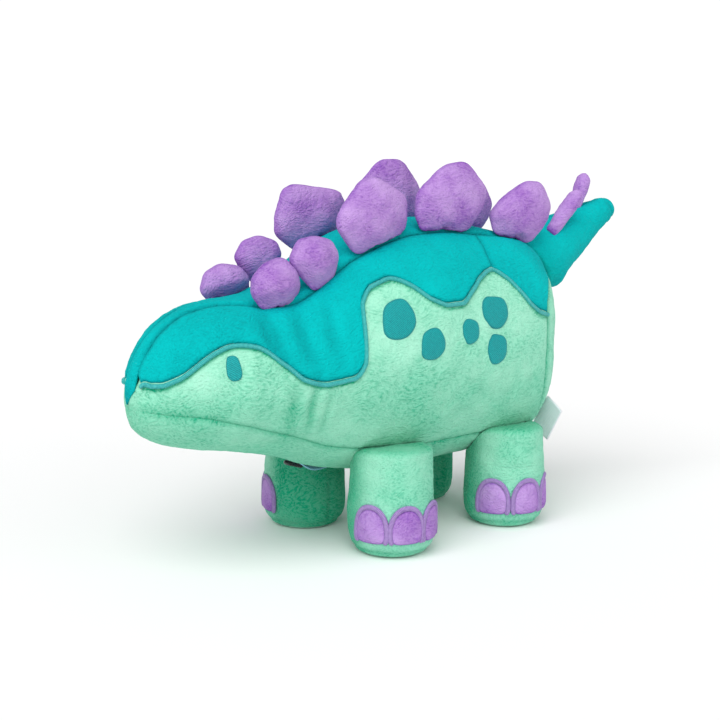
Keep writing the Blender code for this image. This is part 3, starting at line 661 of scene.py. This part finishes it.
def place_piece(piece, body, nodes=()):
    """Finishes a piece: hides the parts it stands for, and hangs it on its body when body is a name, or else
    bakes its transform into its points.
    """
    if nodes:
        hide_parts(*nodes)
    if isinstance(body, str):
        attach(piece, body)
    else:
        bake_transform(piece)
    return piece


# ---- body

FRONT_X = NOSE_X + 0.03


def inside_cape(angle, row):
    """Distance from the cape's edge, positive under the cape."""
    return (cape_edge(row) - np.abs(angle)) * mm_per_degree(row)


def flank_shape(x, angle, row):
    """The flank lies lower under the cape."""
    return -CAPE_STEP * np.where(row < REAR_SEAM_X, 1.0, 0.0) * ease(inside_cape(angle, row) / 2.5)


def build_body():
    for word, side in SIDES.items():
        piece = body_panel(f"flank_{word}", FRONT_X, REAR_SEAM_X, lambda x, s=side: s * (top_seam(x) + 0.1),
                           lambda x, s=side: s * (low_seam(x) - 0.1), MINT, shape=flank_shape,
                           line=flank_painted_shade, dip=(1, 0.45, 1, 1))
        place_piece(piece, "torso", [f"side_panel_{word}"])
    piece = body_panel("spine_gusset", FRONT_X, REAR_SEAM_X, lambda x: 0.1 - top_seam(x),
                       lambda x: top_seam(x) - 0.1, TEAL, lift=0.5)
    place_piece(piece, "torso", ["top_gusset"])
    piece = body_panel("belly_gusset", FRONT_X, REAR_SEAM_X, lambda x: low_seam(x) + 0.1,
                       lambda x: 359.9 - low_seam(x), MINT, hole=slot_angle, shape=slot_lips,
                       dip=(0.45, 0.45, 1, 1), line=belly_painted_shade)
    place_piece(piece, "torso", ["underside_panel"])
    build_rump()
    build_stuffing()


def slot_angle(x):
    """Half the opening of the zip slot in degrees, and almost nothing away from the zip."""
    part = np.clip((x - ZIP_FRONT_X) / (ZIP_REAR_X - ZIP_FRONT_X), 0, 1)
    wide = SLOT_HALF * np.sin(pi * part) ** 0.35 * (1 - 0.55 * ease((part - 0.18) / 0.3))
    return np.where((part > 0) & (part < 1), wide, 0.0) / mm_per_degree(x) + 0.06


def slot_lips(x, angle, row):
    """The cloth beside the zip is turned in."""
    away = (np.abs(180 - angle) - slot_angle(row)) * mm_per_degree(row)
    inside = ease((row - ZIP_FRONT_X + 3) / 4) * ease((ZIP_REAR_X + 3 - row) / 4)
    return -1.6 * inside * (1 - np.clip(away / 3.5, 0, 1)) ** 2


def build_rump():
    rows = stations(REAR_SEAM_X, RUMP_X - 0.05)
    columns = 250
    row, angle = np.meshgrid(rows, np.linspace(-180, 180, columns, endpoint=False), indexing="ij")
    x = slant(row, angle)
    bare = bare_body(x, angle)
    pulled = (1 - np.clip((row - REAR_SEAM_X) / SEAM_ROUND, 0, 1)) ** 2.2
    height = relief(bare) - SEAM_DIP * pulled
    rings = bare + body_normal(x, angle) * height[..., None]
    inner = bare[0] + body_normal(x[0], angle[0]) * (-SEAM_DIP - 3.0)
    rings = np.concatenate([inner[None], rings])
    # Painted shade in the rear seam, and on the inner ring inside it.
    shade = np.concatenate([np.ones((1, columns)), pulled])
    piece = closed_rings("rump", rings, MINT, shade=shade)
    place_piece(piece, "torso", ["rump_panel"])


def build_stuffing():
    rows = np.concatenate([[NOSE_X + 6], np.arange(NOSE_X + 9, REAR_SEAM_X + 18, 4.0)])
    row, angle = np.meshgrid(rows, np.linspace(-180, 180, 72, endpoint=False), indexing="ij")
    bare = bare_body(row, angle)
    rings = bare + body_normal(row, angle) * (-7.0 + 0.7 * smooth_noise(bare, 9.0, 12))[..., None]
    place_piece(closed_rings("body_filling", rings, FIBRE), "torso", ["body_stuffing"])


def cape_shape(x, angle, row):
    """The cape thins out towards its stitched edge."""
    return -0.5 * (1 - np.clip(inside_cape(angle, row) / 3.0, 0, 1)) ** 2


def cape_edge_painted_shade(x, angle, row):
    """Painted shade along the cape's edge, in the crease beside its cord."""
    return 1.2 * bell(inside_cape(angle, row), 0.9)


def flank_painted_shade(x, angle, row):
    """Painted shade on the flank in the crease below the cape's cord, and painted shade growing towards the
    belly, which faces down.
    """
    thread_and_painted_shade = np.where(row > CAPE_EDGE[0][0], 1.2, 0.0) * bell(inside_cape(angle, row) + 2.6, 0.8)
    return np.maximum(thread_and_painted_shade, LOW_FLANK_SHADE * ease((np.abs(angle) - 82) / 30))


def belly_painted_shade(x, angle, row):
    """Painted shade all over the belly and chin, which face down."""
    return np.full_like(angle, BELLY_SHADE)


def build_cape():
    front_x = CAPE_EDGE[0][0]
    for word, side in SIDES.items():
        for name, node, start, end in (("cape", "cape", front_x, HAUNCH_SEAM_X - 0.1),
                                       ("haunch_cape", "haunch_cape", HAUNCH_SEAM_X + 0.1, REAR_SEAM_X)):
            dip = (0.85, 0.0, 0.0, 0.55) if name == "cape" else (0.85, 0.0, 0.55, 0.8)
            piece = body_panel(f"{name}_{word}", start, end, lambda x, s=side: s * (top_seam(x) + 0.15),
                               lambda x, s=side: s * cape_edge(x), TEAL, lift=0.5, thick=1.0, dip=dip,
                               shape=cape_shape, line=cape_edge_painted_shade)
            place_piece(piece, "torso", [f"{node}_{word}"])
        row = np.arange(front_x - 0.5, REAR_SEAM_X - 0.5, 0.15)
        edge = cape_edge(row)
        x = slant(row, side * edge)
        path = body_points(x, side * (edge + CORD_BELOW / mm_per_degree(row)))
        length = np.concatenate([[0], np.cumsum(np.linalg.norm(np.diff(path, axis=0), axis=1))])
        even = np.arange(0, length[-1], 0.6)
        row, edge = np.interp(even, length, row), np.interp(even, length, edge)
        edge = edge + CORD_BELOW / mm_per_degree(row)
        x = slant(row, side * edge)
        bare = bare_body(x, side * edge)
        normal = body_normal(x, side * edge)
        lift = 0.35 + relief(bare, pile=0.0) + folds(x, side * edge)
        cord = tube(f"cape_cord_{word}", bare + normal * lift[:, None], normal, CORD_HALF_WIDE,
                    CORD_HIGH, THREAD)
        place_piece(cord, "torso", [f"edge_stitch_{word}"])


def patch_on_body(name, spot, side, material, high, squash=2.3):
    """Raised oval of stitching that follows the flank."""
    at, angle, length, height = spot
    turn = np.linspace(0, 2 * pi, 64, endpoint=False)
    scale = np.concatenate([np.linspace(0.03, 0.8, 12), np.linspace(0.84, 1.0, 6)])
    s, t = np.meshgrid(scale, turn, indexing="ij")
    wobble = 1 + 0.035 * np.sin(3 * t + at) + 0.02 * np.sin(5 * t + 2 * at)
    ahead, down = boxy(t, 2 / squash)
    u, v = ahead * s * length / 2 * wobble, down * s * height / 2 * wobble
    x = at + u
    a = side * (angle + v / mm_per_degree(np.full_like(u, at)))
    bare = bare_body(x, a)
    normal = body_normal(x, a)
    base = relief(bare, pile=0.0)
    crown = base + high * (1 - s ** 7) ** 0.5
    upper = bare + normal * crown[..., None]
    lower = bare + normal * (base - 1.2)[..., None]
    rings = np.concatenate([upper, lower[::-1]])
    # Painted shade on the patch's steep edge, where it drops to the flank, and on its underside.
    shade = np.concatenate([ease((s - 0.86) / 0.14), np.ones_like(s)])
    return closed_rings(name, rings, material, shade=shade)


def build_embroidery():
    for word, side in SIDES.items():
        piece = patch_on_body(f"eye_stitching_{word}", EYE, side, FILL, 0.85, 2.6)
        place_piece(piece, "torso", [f"eye_{word}"])
        for number, spot in enumerate(SPOTS, 1):
            piece = patch_on_body(f"spot_stitching_{number}_{word}", spot, side, FILL, 0.8)
            place_piece(piece, "torso", [f"spot_{number}_{word}"])


# ---- zip

def on_zip(x, y, out):
    """Points on the zip's arc at x, y across it and out below it."""
    middle = np.array([ZIP_ARC_X, 0.0, ZIP_ARC_Z])
    line = np.stack([x, 0 * x, zip_line_z(x)], axis=-1)
    down = unit(line - middle)
    return middle + down * (ZIP_ARC_R + out)[..., None] + np.stack([0 * y, y, 0 * y], axis=-1)


def zip_strip(name, start, end, half, low, high, material, peep=0.0):
    """Strip along the zip whose ends are rounded; its near edge peeps out by peep at the front."""
    rows = np.arange(start, end, 0.8)
    part = (rows - start) / (end - start)
    turn = np.linspace(0, 2 * pi, 20, endpoint=False)
    grow = np.clip(np.sin(pi * part) * 4, 0.1, 1) ** 0.5
    x = rows[:, None] + 0 * turn
    side, rise = boxy(turn, 0.5)
    y = grow[:, None] * half * side
    out = (low + high) / 2 + grow[:, None] * (high - low) / 2 * rise
    length = (rows - start)[:, None] + 0 * turn
    out = out + peep * bell(x - start - 15.0, 9.0) * ease(-y / half)
    return closed_rings(name, on_zip(x, y, out), material, along=length)


def build_zip():
    tape = zip_strip("zip_ribbon", ZIP_FRONT_X + 0.2, ZIP_REAR_X - 0.2, TAPE_HALF, -2.6, -1.6, TAPE, TAPE_PEEP)
    place_piece(tape, "torso", ["zip_tape"])
    coil = zip_strip("zip_coil", ZIP_FRONT_X + 1.5, ZIP_REAR_X - 1.5, COIL_HALF, -1.7, -0.5, COIL)
    place_piece(coil, "torso", ["zip_teeth"])
    start = ZIP_FRONT_X + SLIDER_FRONT
    count = 26
    t = np.linspace(0, 1, count)[:, None]
    turn = np.linspace(0, 2 * pi, 32, endpoint=False)[None, :]
    ends = np.clip(np.sin(pi * t) * 3, 0.15, 1) ** 0.5
    waist = SLIDER_HALF * (0.62 + 0.38 * np.abs(2 * t - 0.9) ** 1.2) * ends
    rise = 1.3 * np.clip(np.sin(pi * t) * 2.5, 0.2, 1) ** 0.6
    side, up = boxy(turn, 0.6)
    y = waist * side
    out = 0.75 + rise * up
    x = start + SLIDER_LENGTH * t + 0 * turn
    place_piece(closed_rings("zip_slider_body", on_zip(x, y, out), BLACK), "zip_slider", ["zip_slider"])


# ---- legs

def belly_z(x, y):
    mid, half, width, square = section(x)
    share = np.clip(np.abs(y) / np.maximum(width, 1e-6), 0, 1) ** (1 / square)
    return np.where(np.abs(y) >= width, 1000.0, mid - half * np.cos(np.arcsin(share)) ** square)


def leg_radius(z):
    part = np.clip((ANKLE_Z - z) / ANKLE_Z, 0, 1)
    low = SOLE_R + (LEG_R - SOLE_R) * np.sqrt(1 - part ** 2)
    return np.where(z < ANKLE_Z, low, LEG_R - 0.9 * (z - ANKLE_Z) / (SHOULDER_Z - ANKLE_Z))


def build_leg(place, word):
    side = SIDES[word]
    hip = np.array([HIP_X * (-1 if place == "front" else 1), side * HIP_Y, 0.0])
    turn = np.linspace(0, 2 * pi, 120, endpoint=False)
    name = f"{place}_{word}"

    def ring(radius, z):
        """Ring at height z, kept under the belly, or lying on the leg's flat top."""
        x, y = hip[0] + radius * np.cos(turn), hip[1] + radius * np.sin(turn)
        top = SHOULDER_Z - 4.5 * (radius / LEG_R) ** 16
        top = np.minimum(top, belly_z(x, y) - 0.5)
        return np.stack([x, y, np.minimum(z, top)], axis=-1)

    heights = np.concatenate([ANKLE_Z - (ANKLE_Z - 1.0) * np.cos(np.linspace(0.05, pi / 2, 16)),
                              np.arange(ANKLE_Z + PITCH, 52, PITCH)])
    rings = [ring(leg_radius(z), z) for z in heights]
    rings = [ring(r, 1.8 + 1.0 * (1 - r / SOLE_R)) for r in (1.5, 5, 9, 13)] + rings
    rim = float(leg_radius(50.0))
    rings += [ring(rim * r, 100.0) for r in np.cos(np.linspace(0.12, 1.5, 24))]
    rings = np.array(rings)
    z = rings[..., 2]
    normal = grid_normals(rings)
    seam_side = np.abs((turn + side * pi / 2 + pi) % (2 * pi) - pi) * LEG_R
    crease = bell(seam_side, 1.4)[None, :] * ease((z - 3) / 4) * ease((50 - z) / 5)
    sole = bell(z - 3.2, 1.5) * (np.linalg.norm(rings[..., :2] - hip[:2], axis=-1) > SOLE_R - 1)
    bulge = 0.5 * bell(z - 22, 14)
    height = relief(rings, 0.75, 0.4, 0.22) * ease((z - 1.0) / 4) + bulge - 0.8 * crease - 0.7 * sole
    rings = rings + normal * height[..., None]
    rings[..., 2] = np.maximum(rings[..., 2], 1.7)
    # Painted shade on the inner side of each leg, under the body, in the side seam's crease, in the groove
    # above the sole and where the leg meets the belly; LEG_SHADE deepens the colour of the whole leg.
    inner_painted_shade = ease(0.35 - 1.2 * side * np.sin(turn))[None, :]
    shade = np.clip(LEG_SHADE + crease * 0.8 + sole * 0.4 + ease((z - 51) / 3) * 0.5 + inner_painted_shade, 0, 1)
    leg = closed_rings(f"leg_{name}_plush", rings, MINT, shade=shade)
    body = f"leg_{name}"
    place_piece(leg, ("torso", body, (hip[0], hip[1], 51.0), (hip[0], hip[1], 25.0)),
                [f"leg_{name}", f"leg_stuffing_{name}"])
    r, level = np.array(SOLE_PROFILE).T[..., None]
    rings = np.stack([hip[0] + r * np.cos(turn), hip[1] + r * np.sin(turn), level + 0 * turn], axis=-1)
    place_piece(closed_rings(f"sole_{name}_plush", rings, MINT), body, [f"sole_{name}"])
    build_nails(name, hip, side, NAIL_ANGLES[place], body)


def build_nails(name, hip, side, angles, body):
    """Three padded nails with satin borders around the front of a foot."""
    wide = radians(NAIL_HALF_ANGLE) * LEG_R
    above = NAIL_HEIGHT - NAIL_MIDDLE

    def on_foot(centre, u, v, out):
        z = NAIL_Z + v
        turn = radians(centre) + u / LEG_R
        radius = leg_radius(z) + out
        return np.stack([hip[0] + radius * np.cos(turn), hip[1] - side * radius * np.sin(turn), z], axis=-1)

    def outline(t, scale):
        upper = np.sin(t) > 0
        level, rise = boxy(t, np.where(upper, 0.92, 0.45))
        return level * wide * scale, np.where(upper, above, NAIL_MIDDLE) * rise * scale + NAIL_MIDDLE

    for number, centre in enumerate(angles, 1):
        t = np.linspace(0, 2 * pi, 72, endpoint=False)
        s, t2 = np.meshgrid(np.linspace(0.03, 1.0, 16), t, indexing="ij")
        u, v = outline(t2, s * 0.9)
        crown = 0.9 + 1.1 * (1 - s ** 3) ** 0.6
        flat = on_foot(centre, u, v, 0 * u)
        crown = crown + 0.35 * smooth_noise(flat, 6.0, 21) + 0.2 * smooth_noise(flat, 2.4, 22)
        rings = np.concatenate([on_foot(centre, u, v, crown), on_foot(centre, u, v, 0 * u - 1.0)[::-1]])
        # Painted shade on the pad's edge beside its border, and on its underside.
        shade = np.concatenate([ease((s - 0.86) / 0.14) * 0.9, np.ones_like(s)])
        pad = closed_rings(f"toenail_{number}_{name}", rings, PURPLE, shade=shade)
        place_piece(pad, body, [f"toenails_{name}"] if number == 1 else [])
        t = np.linspace(-0.9, pi + 0.9, 150)
        u, v = outline(t, np.full_like(t, 0.95))
        path = on_foot(centre, u, v, 0 * u + 1.0)
        normal = path - hip
        normal[:, 2] = 0
        border = tube(f"toenail_border_{number}_{name}", path, unit(normal), 1.35, 0.95, LILAC, 10)
        place_piece(border, body)


# ---- tail, plates, spikes

def build_tail():
    rings_in = np.array(TAIL_RINGS, float)
    length = np.concatenate([[0], np.cumsum(np.hypot(np.diff(rings_in[:, 0]), np.diff(rings_in[:, 1])))])
    even = np.concatenate([np.arange(0, length[-1] - 3, PITCH), np.linspace(length[-1] - 3, length[-1], 7)])
    x, z, half, width, lean = (curve(list(zip(length, rings_in[:, k])), even) for k in range(5))
    turn = np.linspace(0, 2 * pi, 110, endpoint=False)
    slope = np.radians(lean)[:, None]
    up = half[:, None] * np.cos(turn)
    rings = np.stack([x[:, None] - up * np.sin(slope), width[:, None] * np.sin(turn),
                      z[:, None] + up * np.cos(slope)], axis=-1)
    normal = grid_normals(rings)
    part = (even / length[-1])[:, None]
    tip_creases = 0.9 * bell(part - 0.86, 0.02) * (0.5 + 0.5 * np.cos(turn - 2.2))
    tip_creases = tip_creases + 0.7 * bell(part - 0.93, 0.018) * (0.5 + 0.5 * np.cos(turn - 4.4))
    from_top = np.abs((turn + pi) % (2 * pi) - pi)
    seam = bell(from_top * 12.0, 1.3)[None, :] * ease(part / 0.1) * ease((0.97 - part) / 0.05)
    underseam = bell((turn - pi) * 12.0, 1.3)[None, :] * ease((0.95 - part) / 0.05)
    height = relief(rings, 0.7, 0.45, 0.18) * ease((1 - part) / 0.08) - tip_creases
    height = height - 0.8 * (seam + underseam) - 1.6 * (1 - ease(part / 0.07))
    rings = rings + normal * height[..., None]
    # Painted shade in the seams and tip creases, and at the root where the tail meets the rump.
    shade = np.clip(0.7 * (seam + underseam) + 0.5 * tip_creases + (1 - ease(part / 0.05)), 0, 1)
    tail = closed_rings("tail_plush", rings, TEAL, shade=shade)
    across_root = ("torso", "tail", (92.0, 0, 140), (120.0, 0, 140))
    place_piece(tail, across_root, ["tail_cover", "tail_stuffing"])


def rounded_polygon(corners, steps):
    """Closed outline through the sides of a polygon, with a curve in place of each corner."""
    p = np.array(corners, float)
    before = p + (np.roll(p, 1, axis=0) - p) * CORNER_CUT
    after = p + (np.roll(p, -1, axis=0) - p) * CORNER_CUT
    result = []
    for a, corner, b, c in zip(before, p, after, np.roll(before, -1, axis=0)):
        for t in np.arange(steps) / steps:
            result.append(a * (1 - t) ** 2 + corner * 2 * t * (1 - t) + b * t * t)
        for t in np.arange(steps) / steps:
            result.append(b + (c - b) * t)
    return np.array(result)


def build_plate(number, word):
    side = SIDES[word]
    at = PLATE_X[number]
    corners = (PLATE_CORNERS if word == "left" else RIGHT_PLATE_CORNERS)[number]
    spots = np.array([at - 12.0, at, at + 12.0])
    seam = body_points(spots, side * top_seam(spots))
    along = seam[2] - seam[0]
    along[1] = 0
    along = along / np.linalg.norm(along)
    up = np.array([-along[2], 0, along[0]])
    across = np.cross(along, up)
    edge = rounded_polygon(corners, 7)
    middle = np.array([edge[:, 0].mean(), edge[:, 1].max() * 0.5])
    scales = np.concatenate([np.linspace(0.03, 0.85, 20), np.linspace(0.88, 1.0, 8)])
    s = scales[:, None]
    flat = middle + (edge[None] - middle) * scales[:, None, None]
    taper = 0.34 + 0.66 * ease((flat[..., 1] + 1.0) / 11.0)
    thick = (0.35 + PLATE_HALF_THICK * (1 - s ** 2.0) ** 0.66) * taper
    layers = []
    for face in (-1, 1):
        centre = seam[1] + along * flat[..., 0:1] + up * flat[..., 1:2]
        lumps = 1.6 * smooth_noise(centre + 31 * face, 14.0, number) + 0.3 * smooth_noise(centre, 5.0, 9)
        pile = 0.2 * smooth_noise(centre + 7 * face, 2.2, 11)
        layers.append(centre + across * (face * (thick + lumps * (1 - s ** 3) * taper + pile))[..., None])
    rings = np.concatenate([layers[0], layers[1][::-1]])
    # Painted shade along the rim's seam and at the root where the plate meets the body.
    rim = ease((s - 0.93) / 0.07) + 0 * thick
    root = 1 - ease((flat[..., 1] + 2) / 4.0)
    shade = np.clip(0.35 * rim + 0.8 * root, 0, 1)
    shade = np.concatenate([shade, shade[::-1]])
    plate = closed_rings(f"plate_{number}_{word}_plush", rings, PURPLE, shade=shade)
    swell(plate)
    base = seam[1] + along * middle[0]
    low, high = base - up * 1.0, base + up * 9.0
    place_piece(plate, ("torso", f"plate_{number}_{word}", low, high), [f"plate_{number}_{word}"])


def build_spike(name):
    foot, tip = np.array(SPIKES[name][0]), np.array(SPIKES[name][1])
    direction = unit(tip - foot)
    sideways = unit(np.cross(direction, (0.0, 1.0, 0.0)))
    other = np.cross(direction, sideways)
    part = np.linspace(0, 1, 34)
    thick = curve([(0, 0.75), (0.1, 0.85), (0.35, 0.92), (0.6, 1.04), (0.82, 1.0), (0.93, 0.74),
                   (0.98, 0.42), (1.0, 0.12)], part)
    turn = np.linspace(0, 2 * pi, 44, endpoint=False)
    rings = (foot + direction * ((tip - foot) @ direction) * part[:, None, None]
             + (sideways * np.cos(turn)[:, None] + other * 0.92 * np.sin(turn)[:, None])
             * (SPIKE_R * thick)[:, None, None])
    height = relief(rings, 0.5, 0.45, 0.2) * ease(thick * 1.2)[:, None]
    rings = rings + grid_normals(rings) * height[..., None]
    # Painted shade at the foot, where the spike meets the tail.
    spike = closed_rings(f"{name}_plush", rings, PURPLE, shade=(1 - ease(part / 0.15))[:, None] + 0 * turn)
    swell(spike)
    place_piece(spike, ("tail", name, foot + (tip - foot) * 0.1, foot + (tip - foot) * 0.45), [name])


# ---- label

def build_label():
    """Blank folded ribbon with a rounded fold, standing out of the rear seam."""
    foot = np.array(LABEL_AT)
    out, tall = unit(np.array(LABEL_OUT_WAY)), unit(np.array(LABEL_TALL_WAY))
    across = np.cross(out, tall)
    o = np.concatenate([np.linspace(0, LABEL_OUT, 22), np.linspace(LABEL_OUT, 0, 22)])
    a = np.concatenate([np.full(22, -0.5), np.full(22, 0.5)]) * LABEL_THICK
    t = np.linspace(-0.5, 0.5, 26)
    curl = 1.3 * (o / LABEL_OUT) ** 2
    rings = np.stack([foot + tall * (LABEL_TALL * k) + out * o[:, None]
                      + across * (a + curl * (0.4 + k))[:, None] for k in t])
    label = closed_rings("label_ribbon", rings, RIBBON)
    root, tip = foot, foot + out * LABEL_OUT * 0.5
    place_piece(label, ("torso", "label", root, tip), ["label"])


# ---- stage, light and camera

def build_stage():
    mesh = bpy.data.meshes.new("floor")
    corners = [(x * FLOOR_HALF, y * FLOOR_HALF, 0) for x, y in ((-1, -1), (1, -1), (1, 1), (-1, 1))]
    mesh.from_pydata(corners, [], [(0, 1, 2, 3)])
    material = bpy.data.materials.new("floor_paint")
    material.use_nodes = True
    shader = material.node_tree.nodes["Principled BSDF"]
    shader.inputs["Base Color"].default_value = (0.93, 0.93, 0.93, 1)
    shader.inputs["Roughness"].default_value = 0.9
    shader.inputs["Specular IOR Level"].default_value = 0.0
    mesh.materials.append(material)
    floor = bpy.data.objects.new("floor", mesh)
    bpy.context.scene.collection.objects.link(floor)


def add_sun(name, towards, strength, angle):
    """Large soft light shining from the direction towards."""
    lamp = bpy.data.lights.new(name, "SUN")
    lamp.energy = strength
    lamp.angle = radians(angle)
    holder = bpy.data.objects.new(name, lamp)
    holder.rotation_mode = "QUATERNION"
    holder.rotation_quaternion = Vector(towards).to_track_quat("Z", "Y")
    bpy.context.scene.collection.objects.link(holder)


def build_light():
    world = bpy.data.worlds.new("studio")
    bpy.context.scene.world = world
    world.use_nodes = True
    tree = world.node_tree
    background = tree.nodes["Background"]
    seen = tree.nodes.new("ShaderNodeLightPath")
    strength = tree.nodes.new("ShaderNodeMapRange")
    strength.inputs["To Min"].default_value = WORLD_LIGHT
    strength.inputs["To Max"].default_value = BACKDROP_LIGHT
    tree.links.new(seen.outputs["Is Camera Ray"], strength.inputs["Value"])
    tree.links.new(strength.outputs["Result"], background.inputs["Strength"])
    background.inputs["Color"].default_value = (1, 1, 1, 1)
    for name, towards, energy, angle in SUNS:
        add_sun(name, towards, energy, angle)


def build_camera():
    azimuth, elevation, roll = radians(-42.58), radians(8.6), radians(0.61)
    back = Vector((sin(azimuth) * cos(elevation), -cos(azimuth) * cos(elevation), sin(elevation)))
    right = Vector((cos(azimuth), sin(azimuth), 0.0))
    up = back.cross(right)
    right, up = right * cos(roll) + up * sin(roll), up * cos(roll) - right * sin(roll)
    data = bpy.data.cameras.new("camera")
    data.sensor_width, data.lens = 36.0, 63.4
    data.clip_start, data.clip_end = 0.02, 60.0
    camera = bpy.data.objects.new("camera", data)
    bpy.context.scene.collection.objects.link(camera)
    turn = Matrix((right, up, back)).transposed().to_4x4()
    camera.matrix_world = Matrix.Translation((-0.4742, -0.4788, 0.1902)) @ turn
    bpy.context.scene.camera = camera


build_camera()
build_body()
build_cape()
build_embroidery()
build_zip()
for place_word in ("front", "rear"):
    for side_word in SIDES:
        build_leg(place_word, side_word)
build_tail()
for plate_number in PLATE_X:
    for side_word in SIDES:
        build_plate(plate_number, side_word)
for spike_name in SPIKES:
    build_spike(spike_name)
build_label()
build_stage()
build_light()
bpy.context.scene.view_settings.view_transform = "Standard"
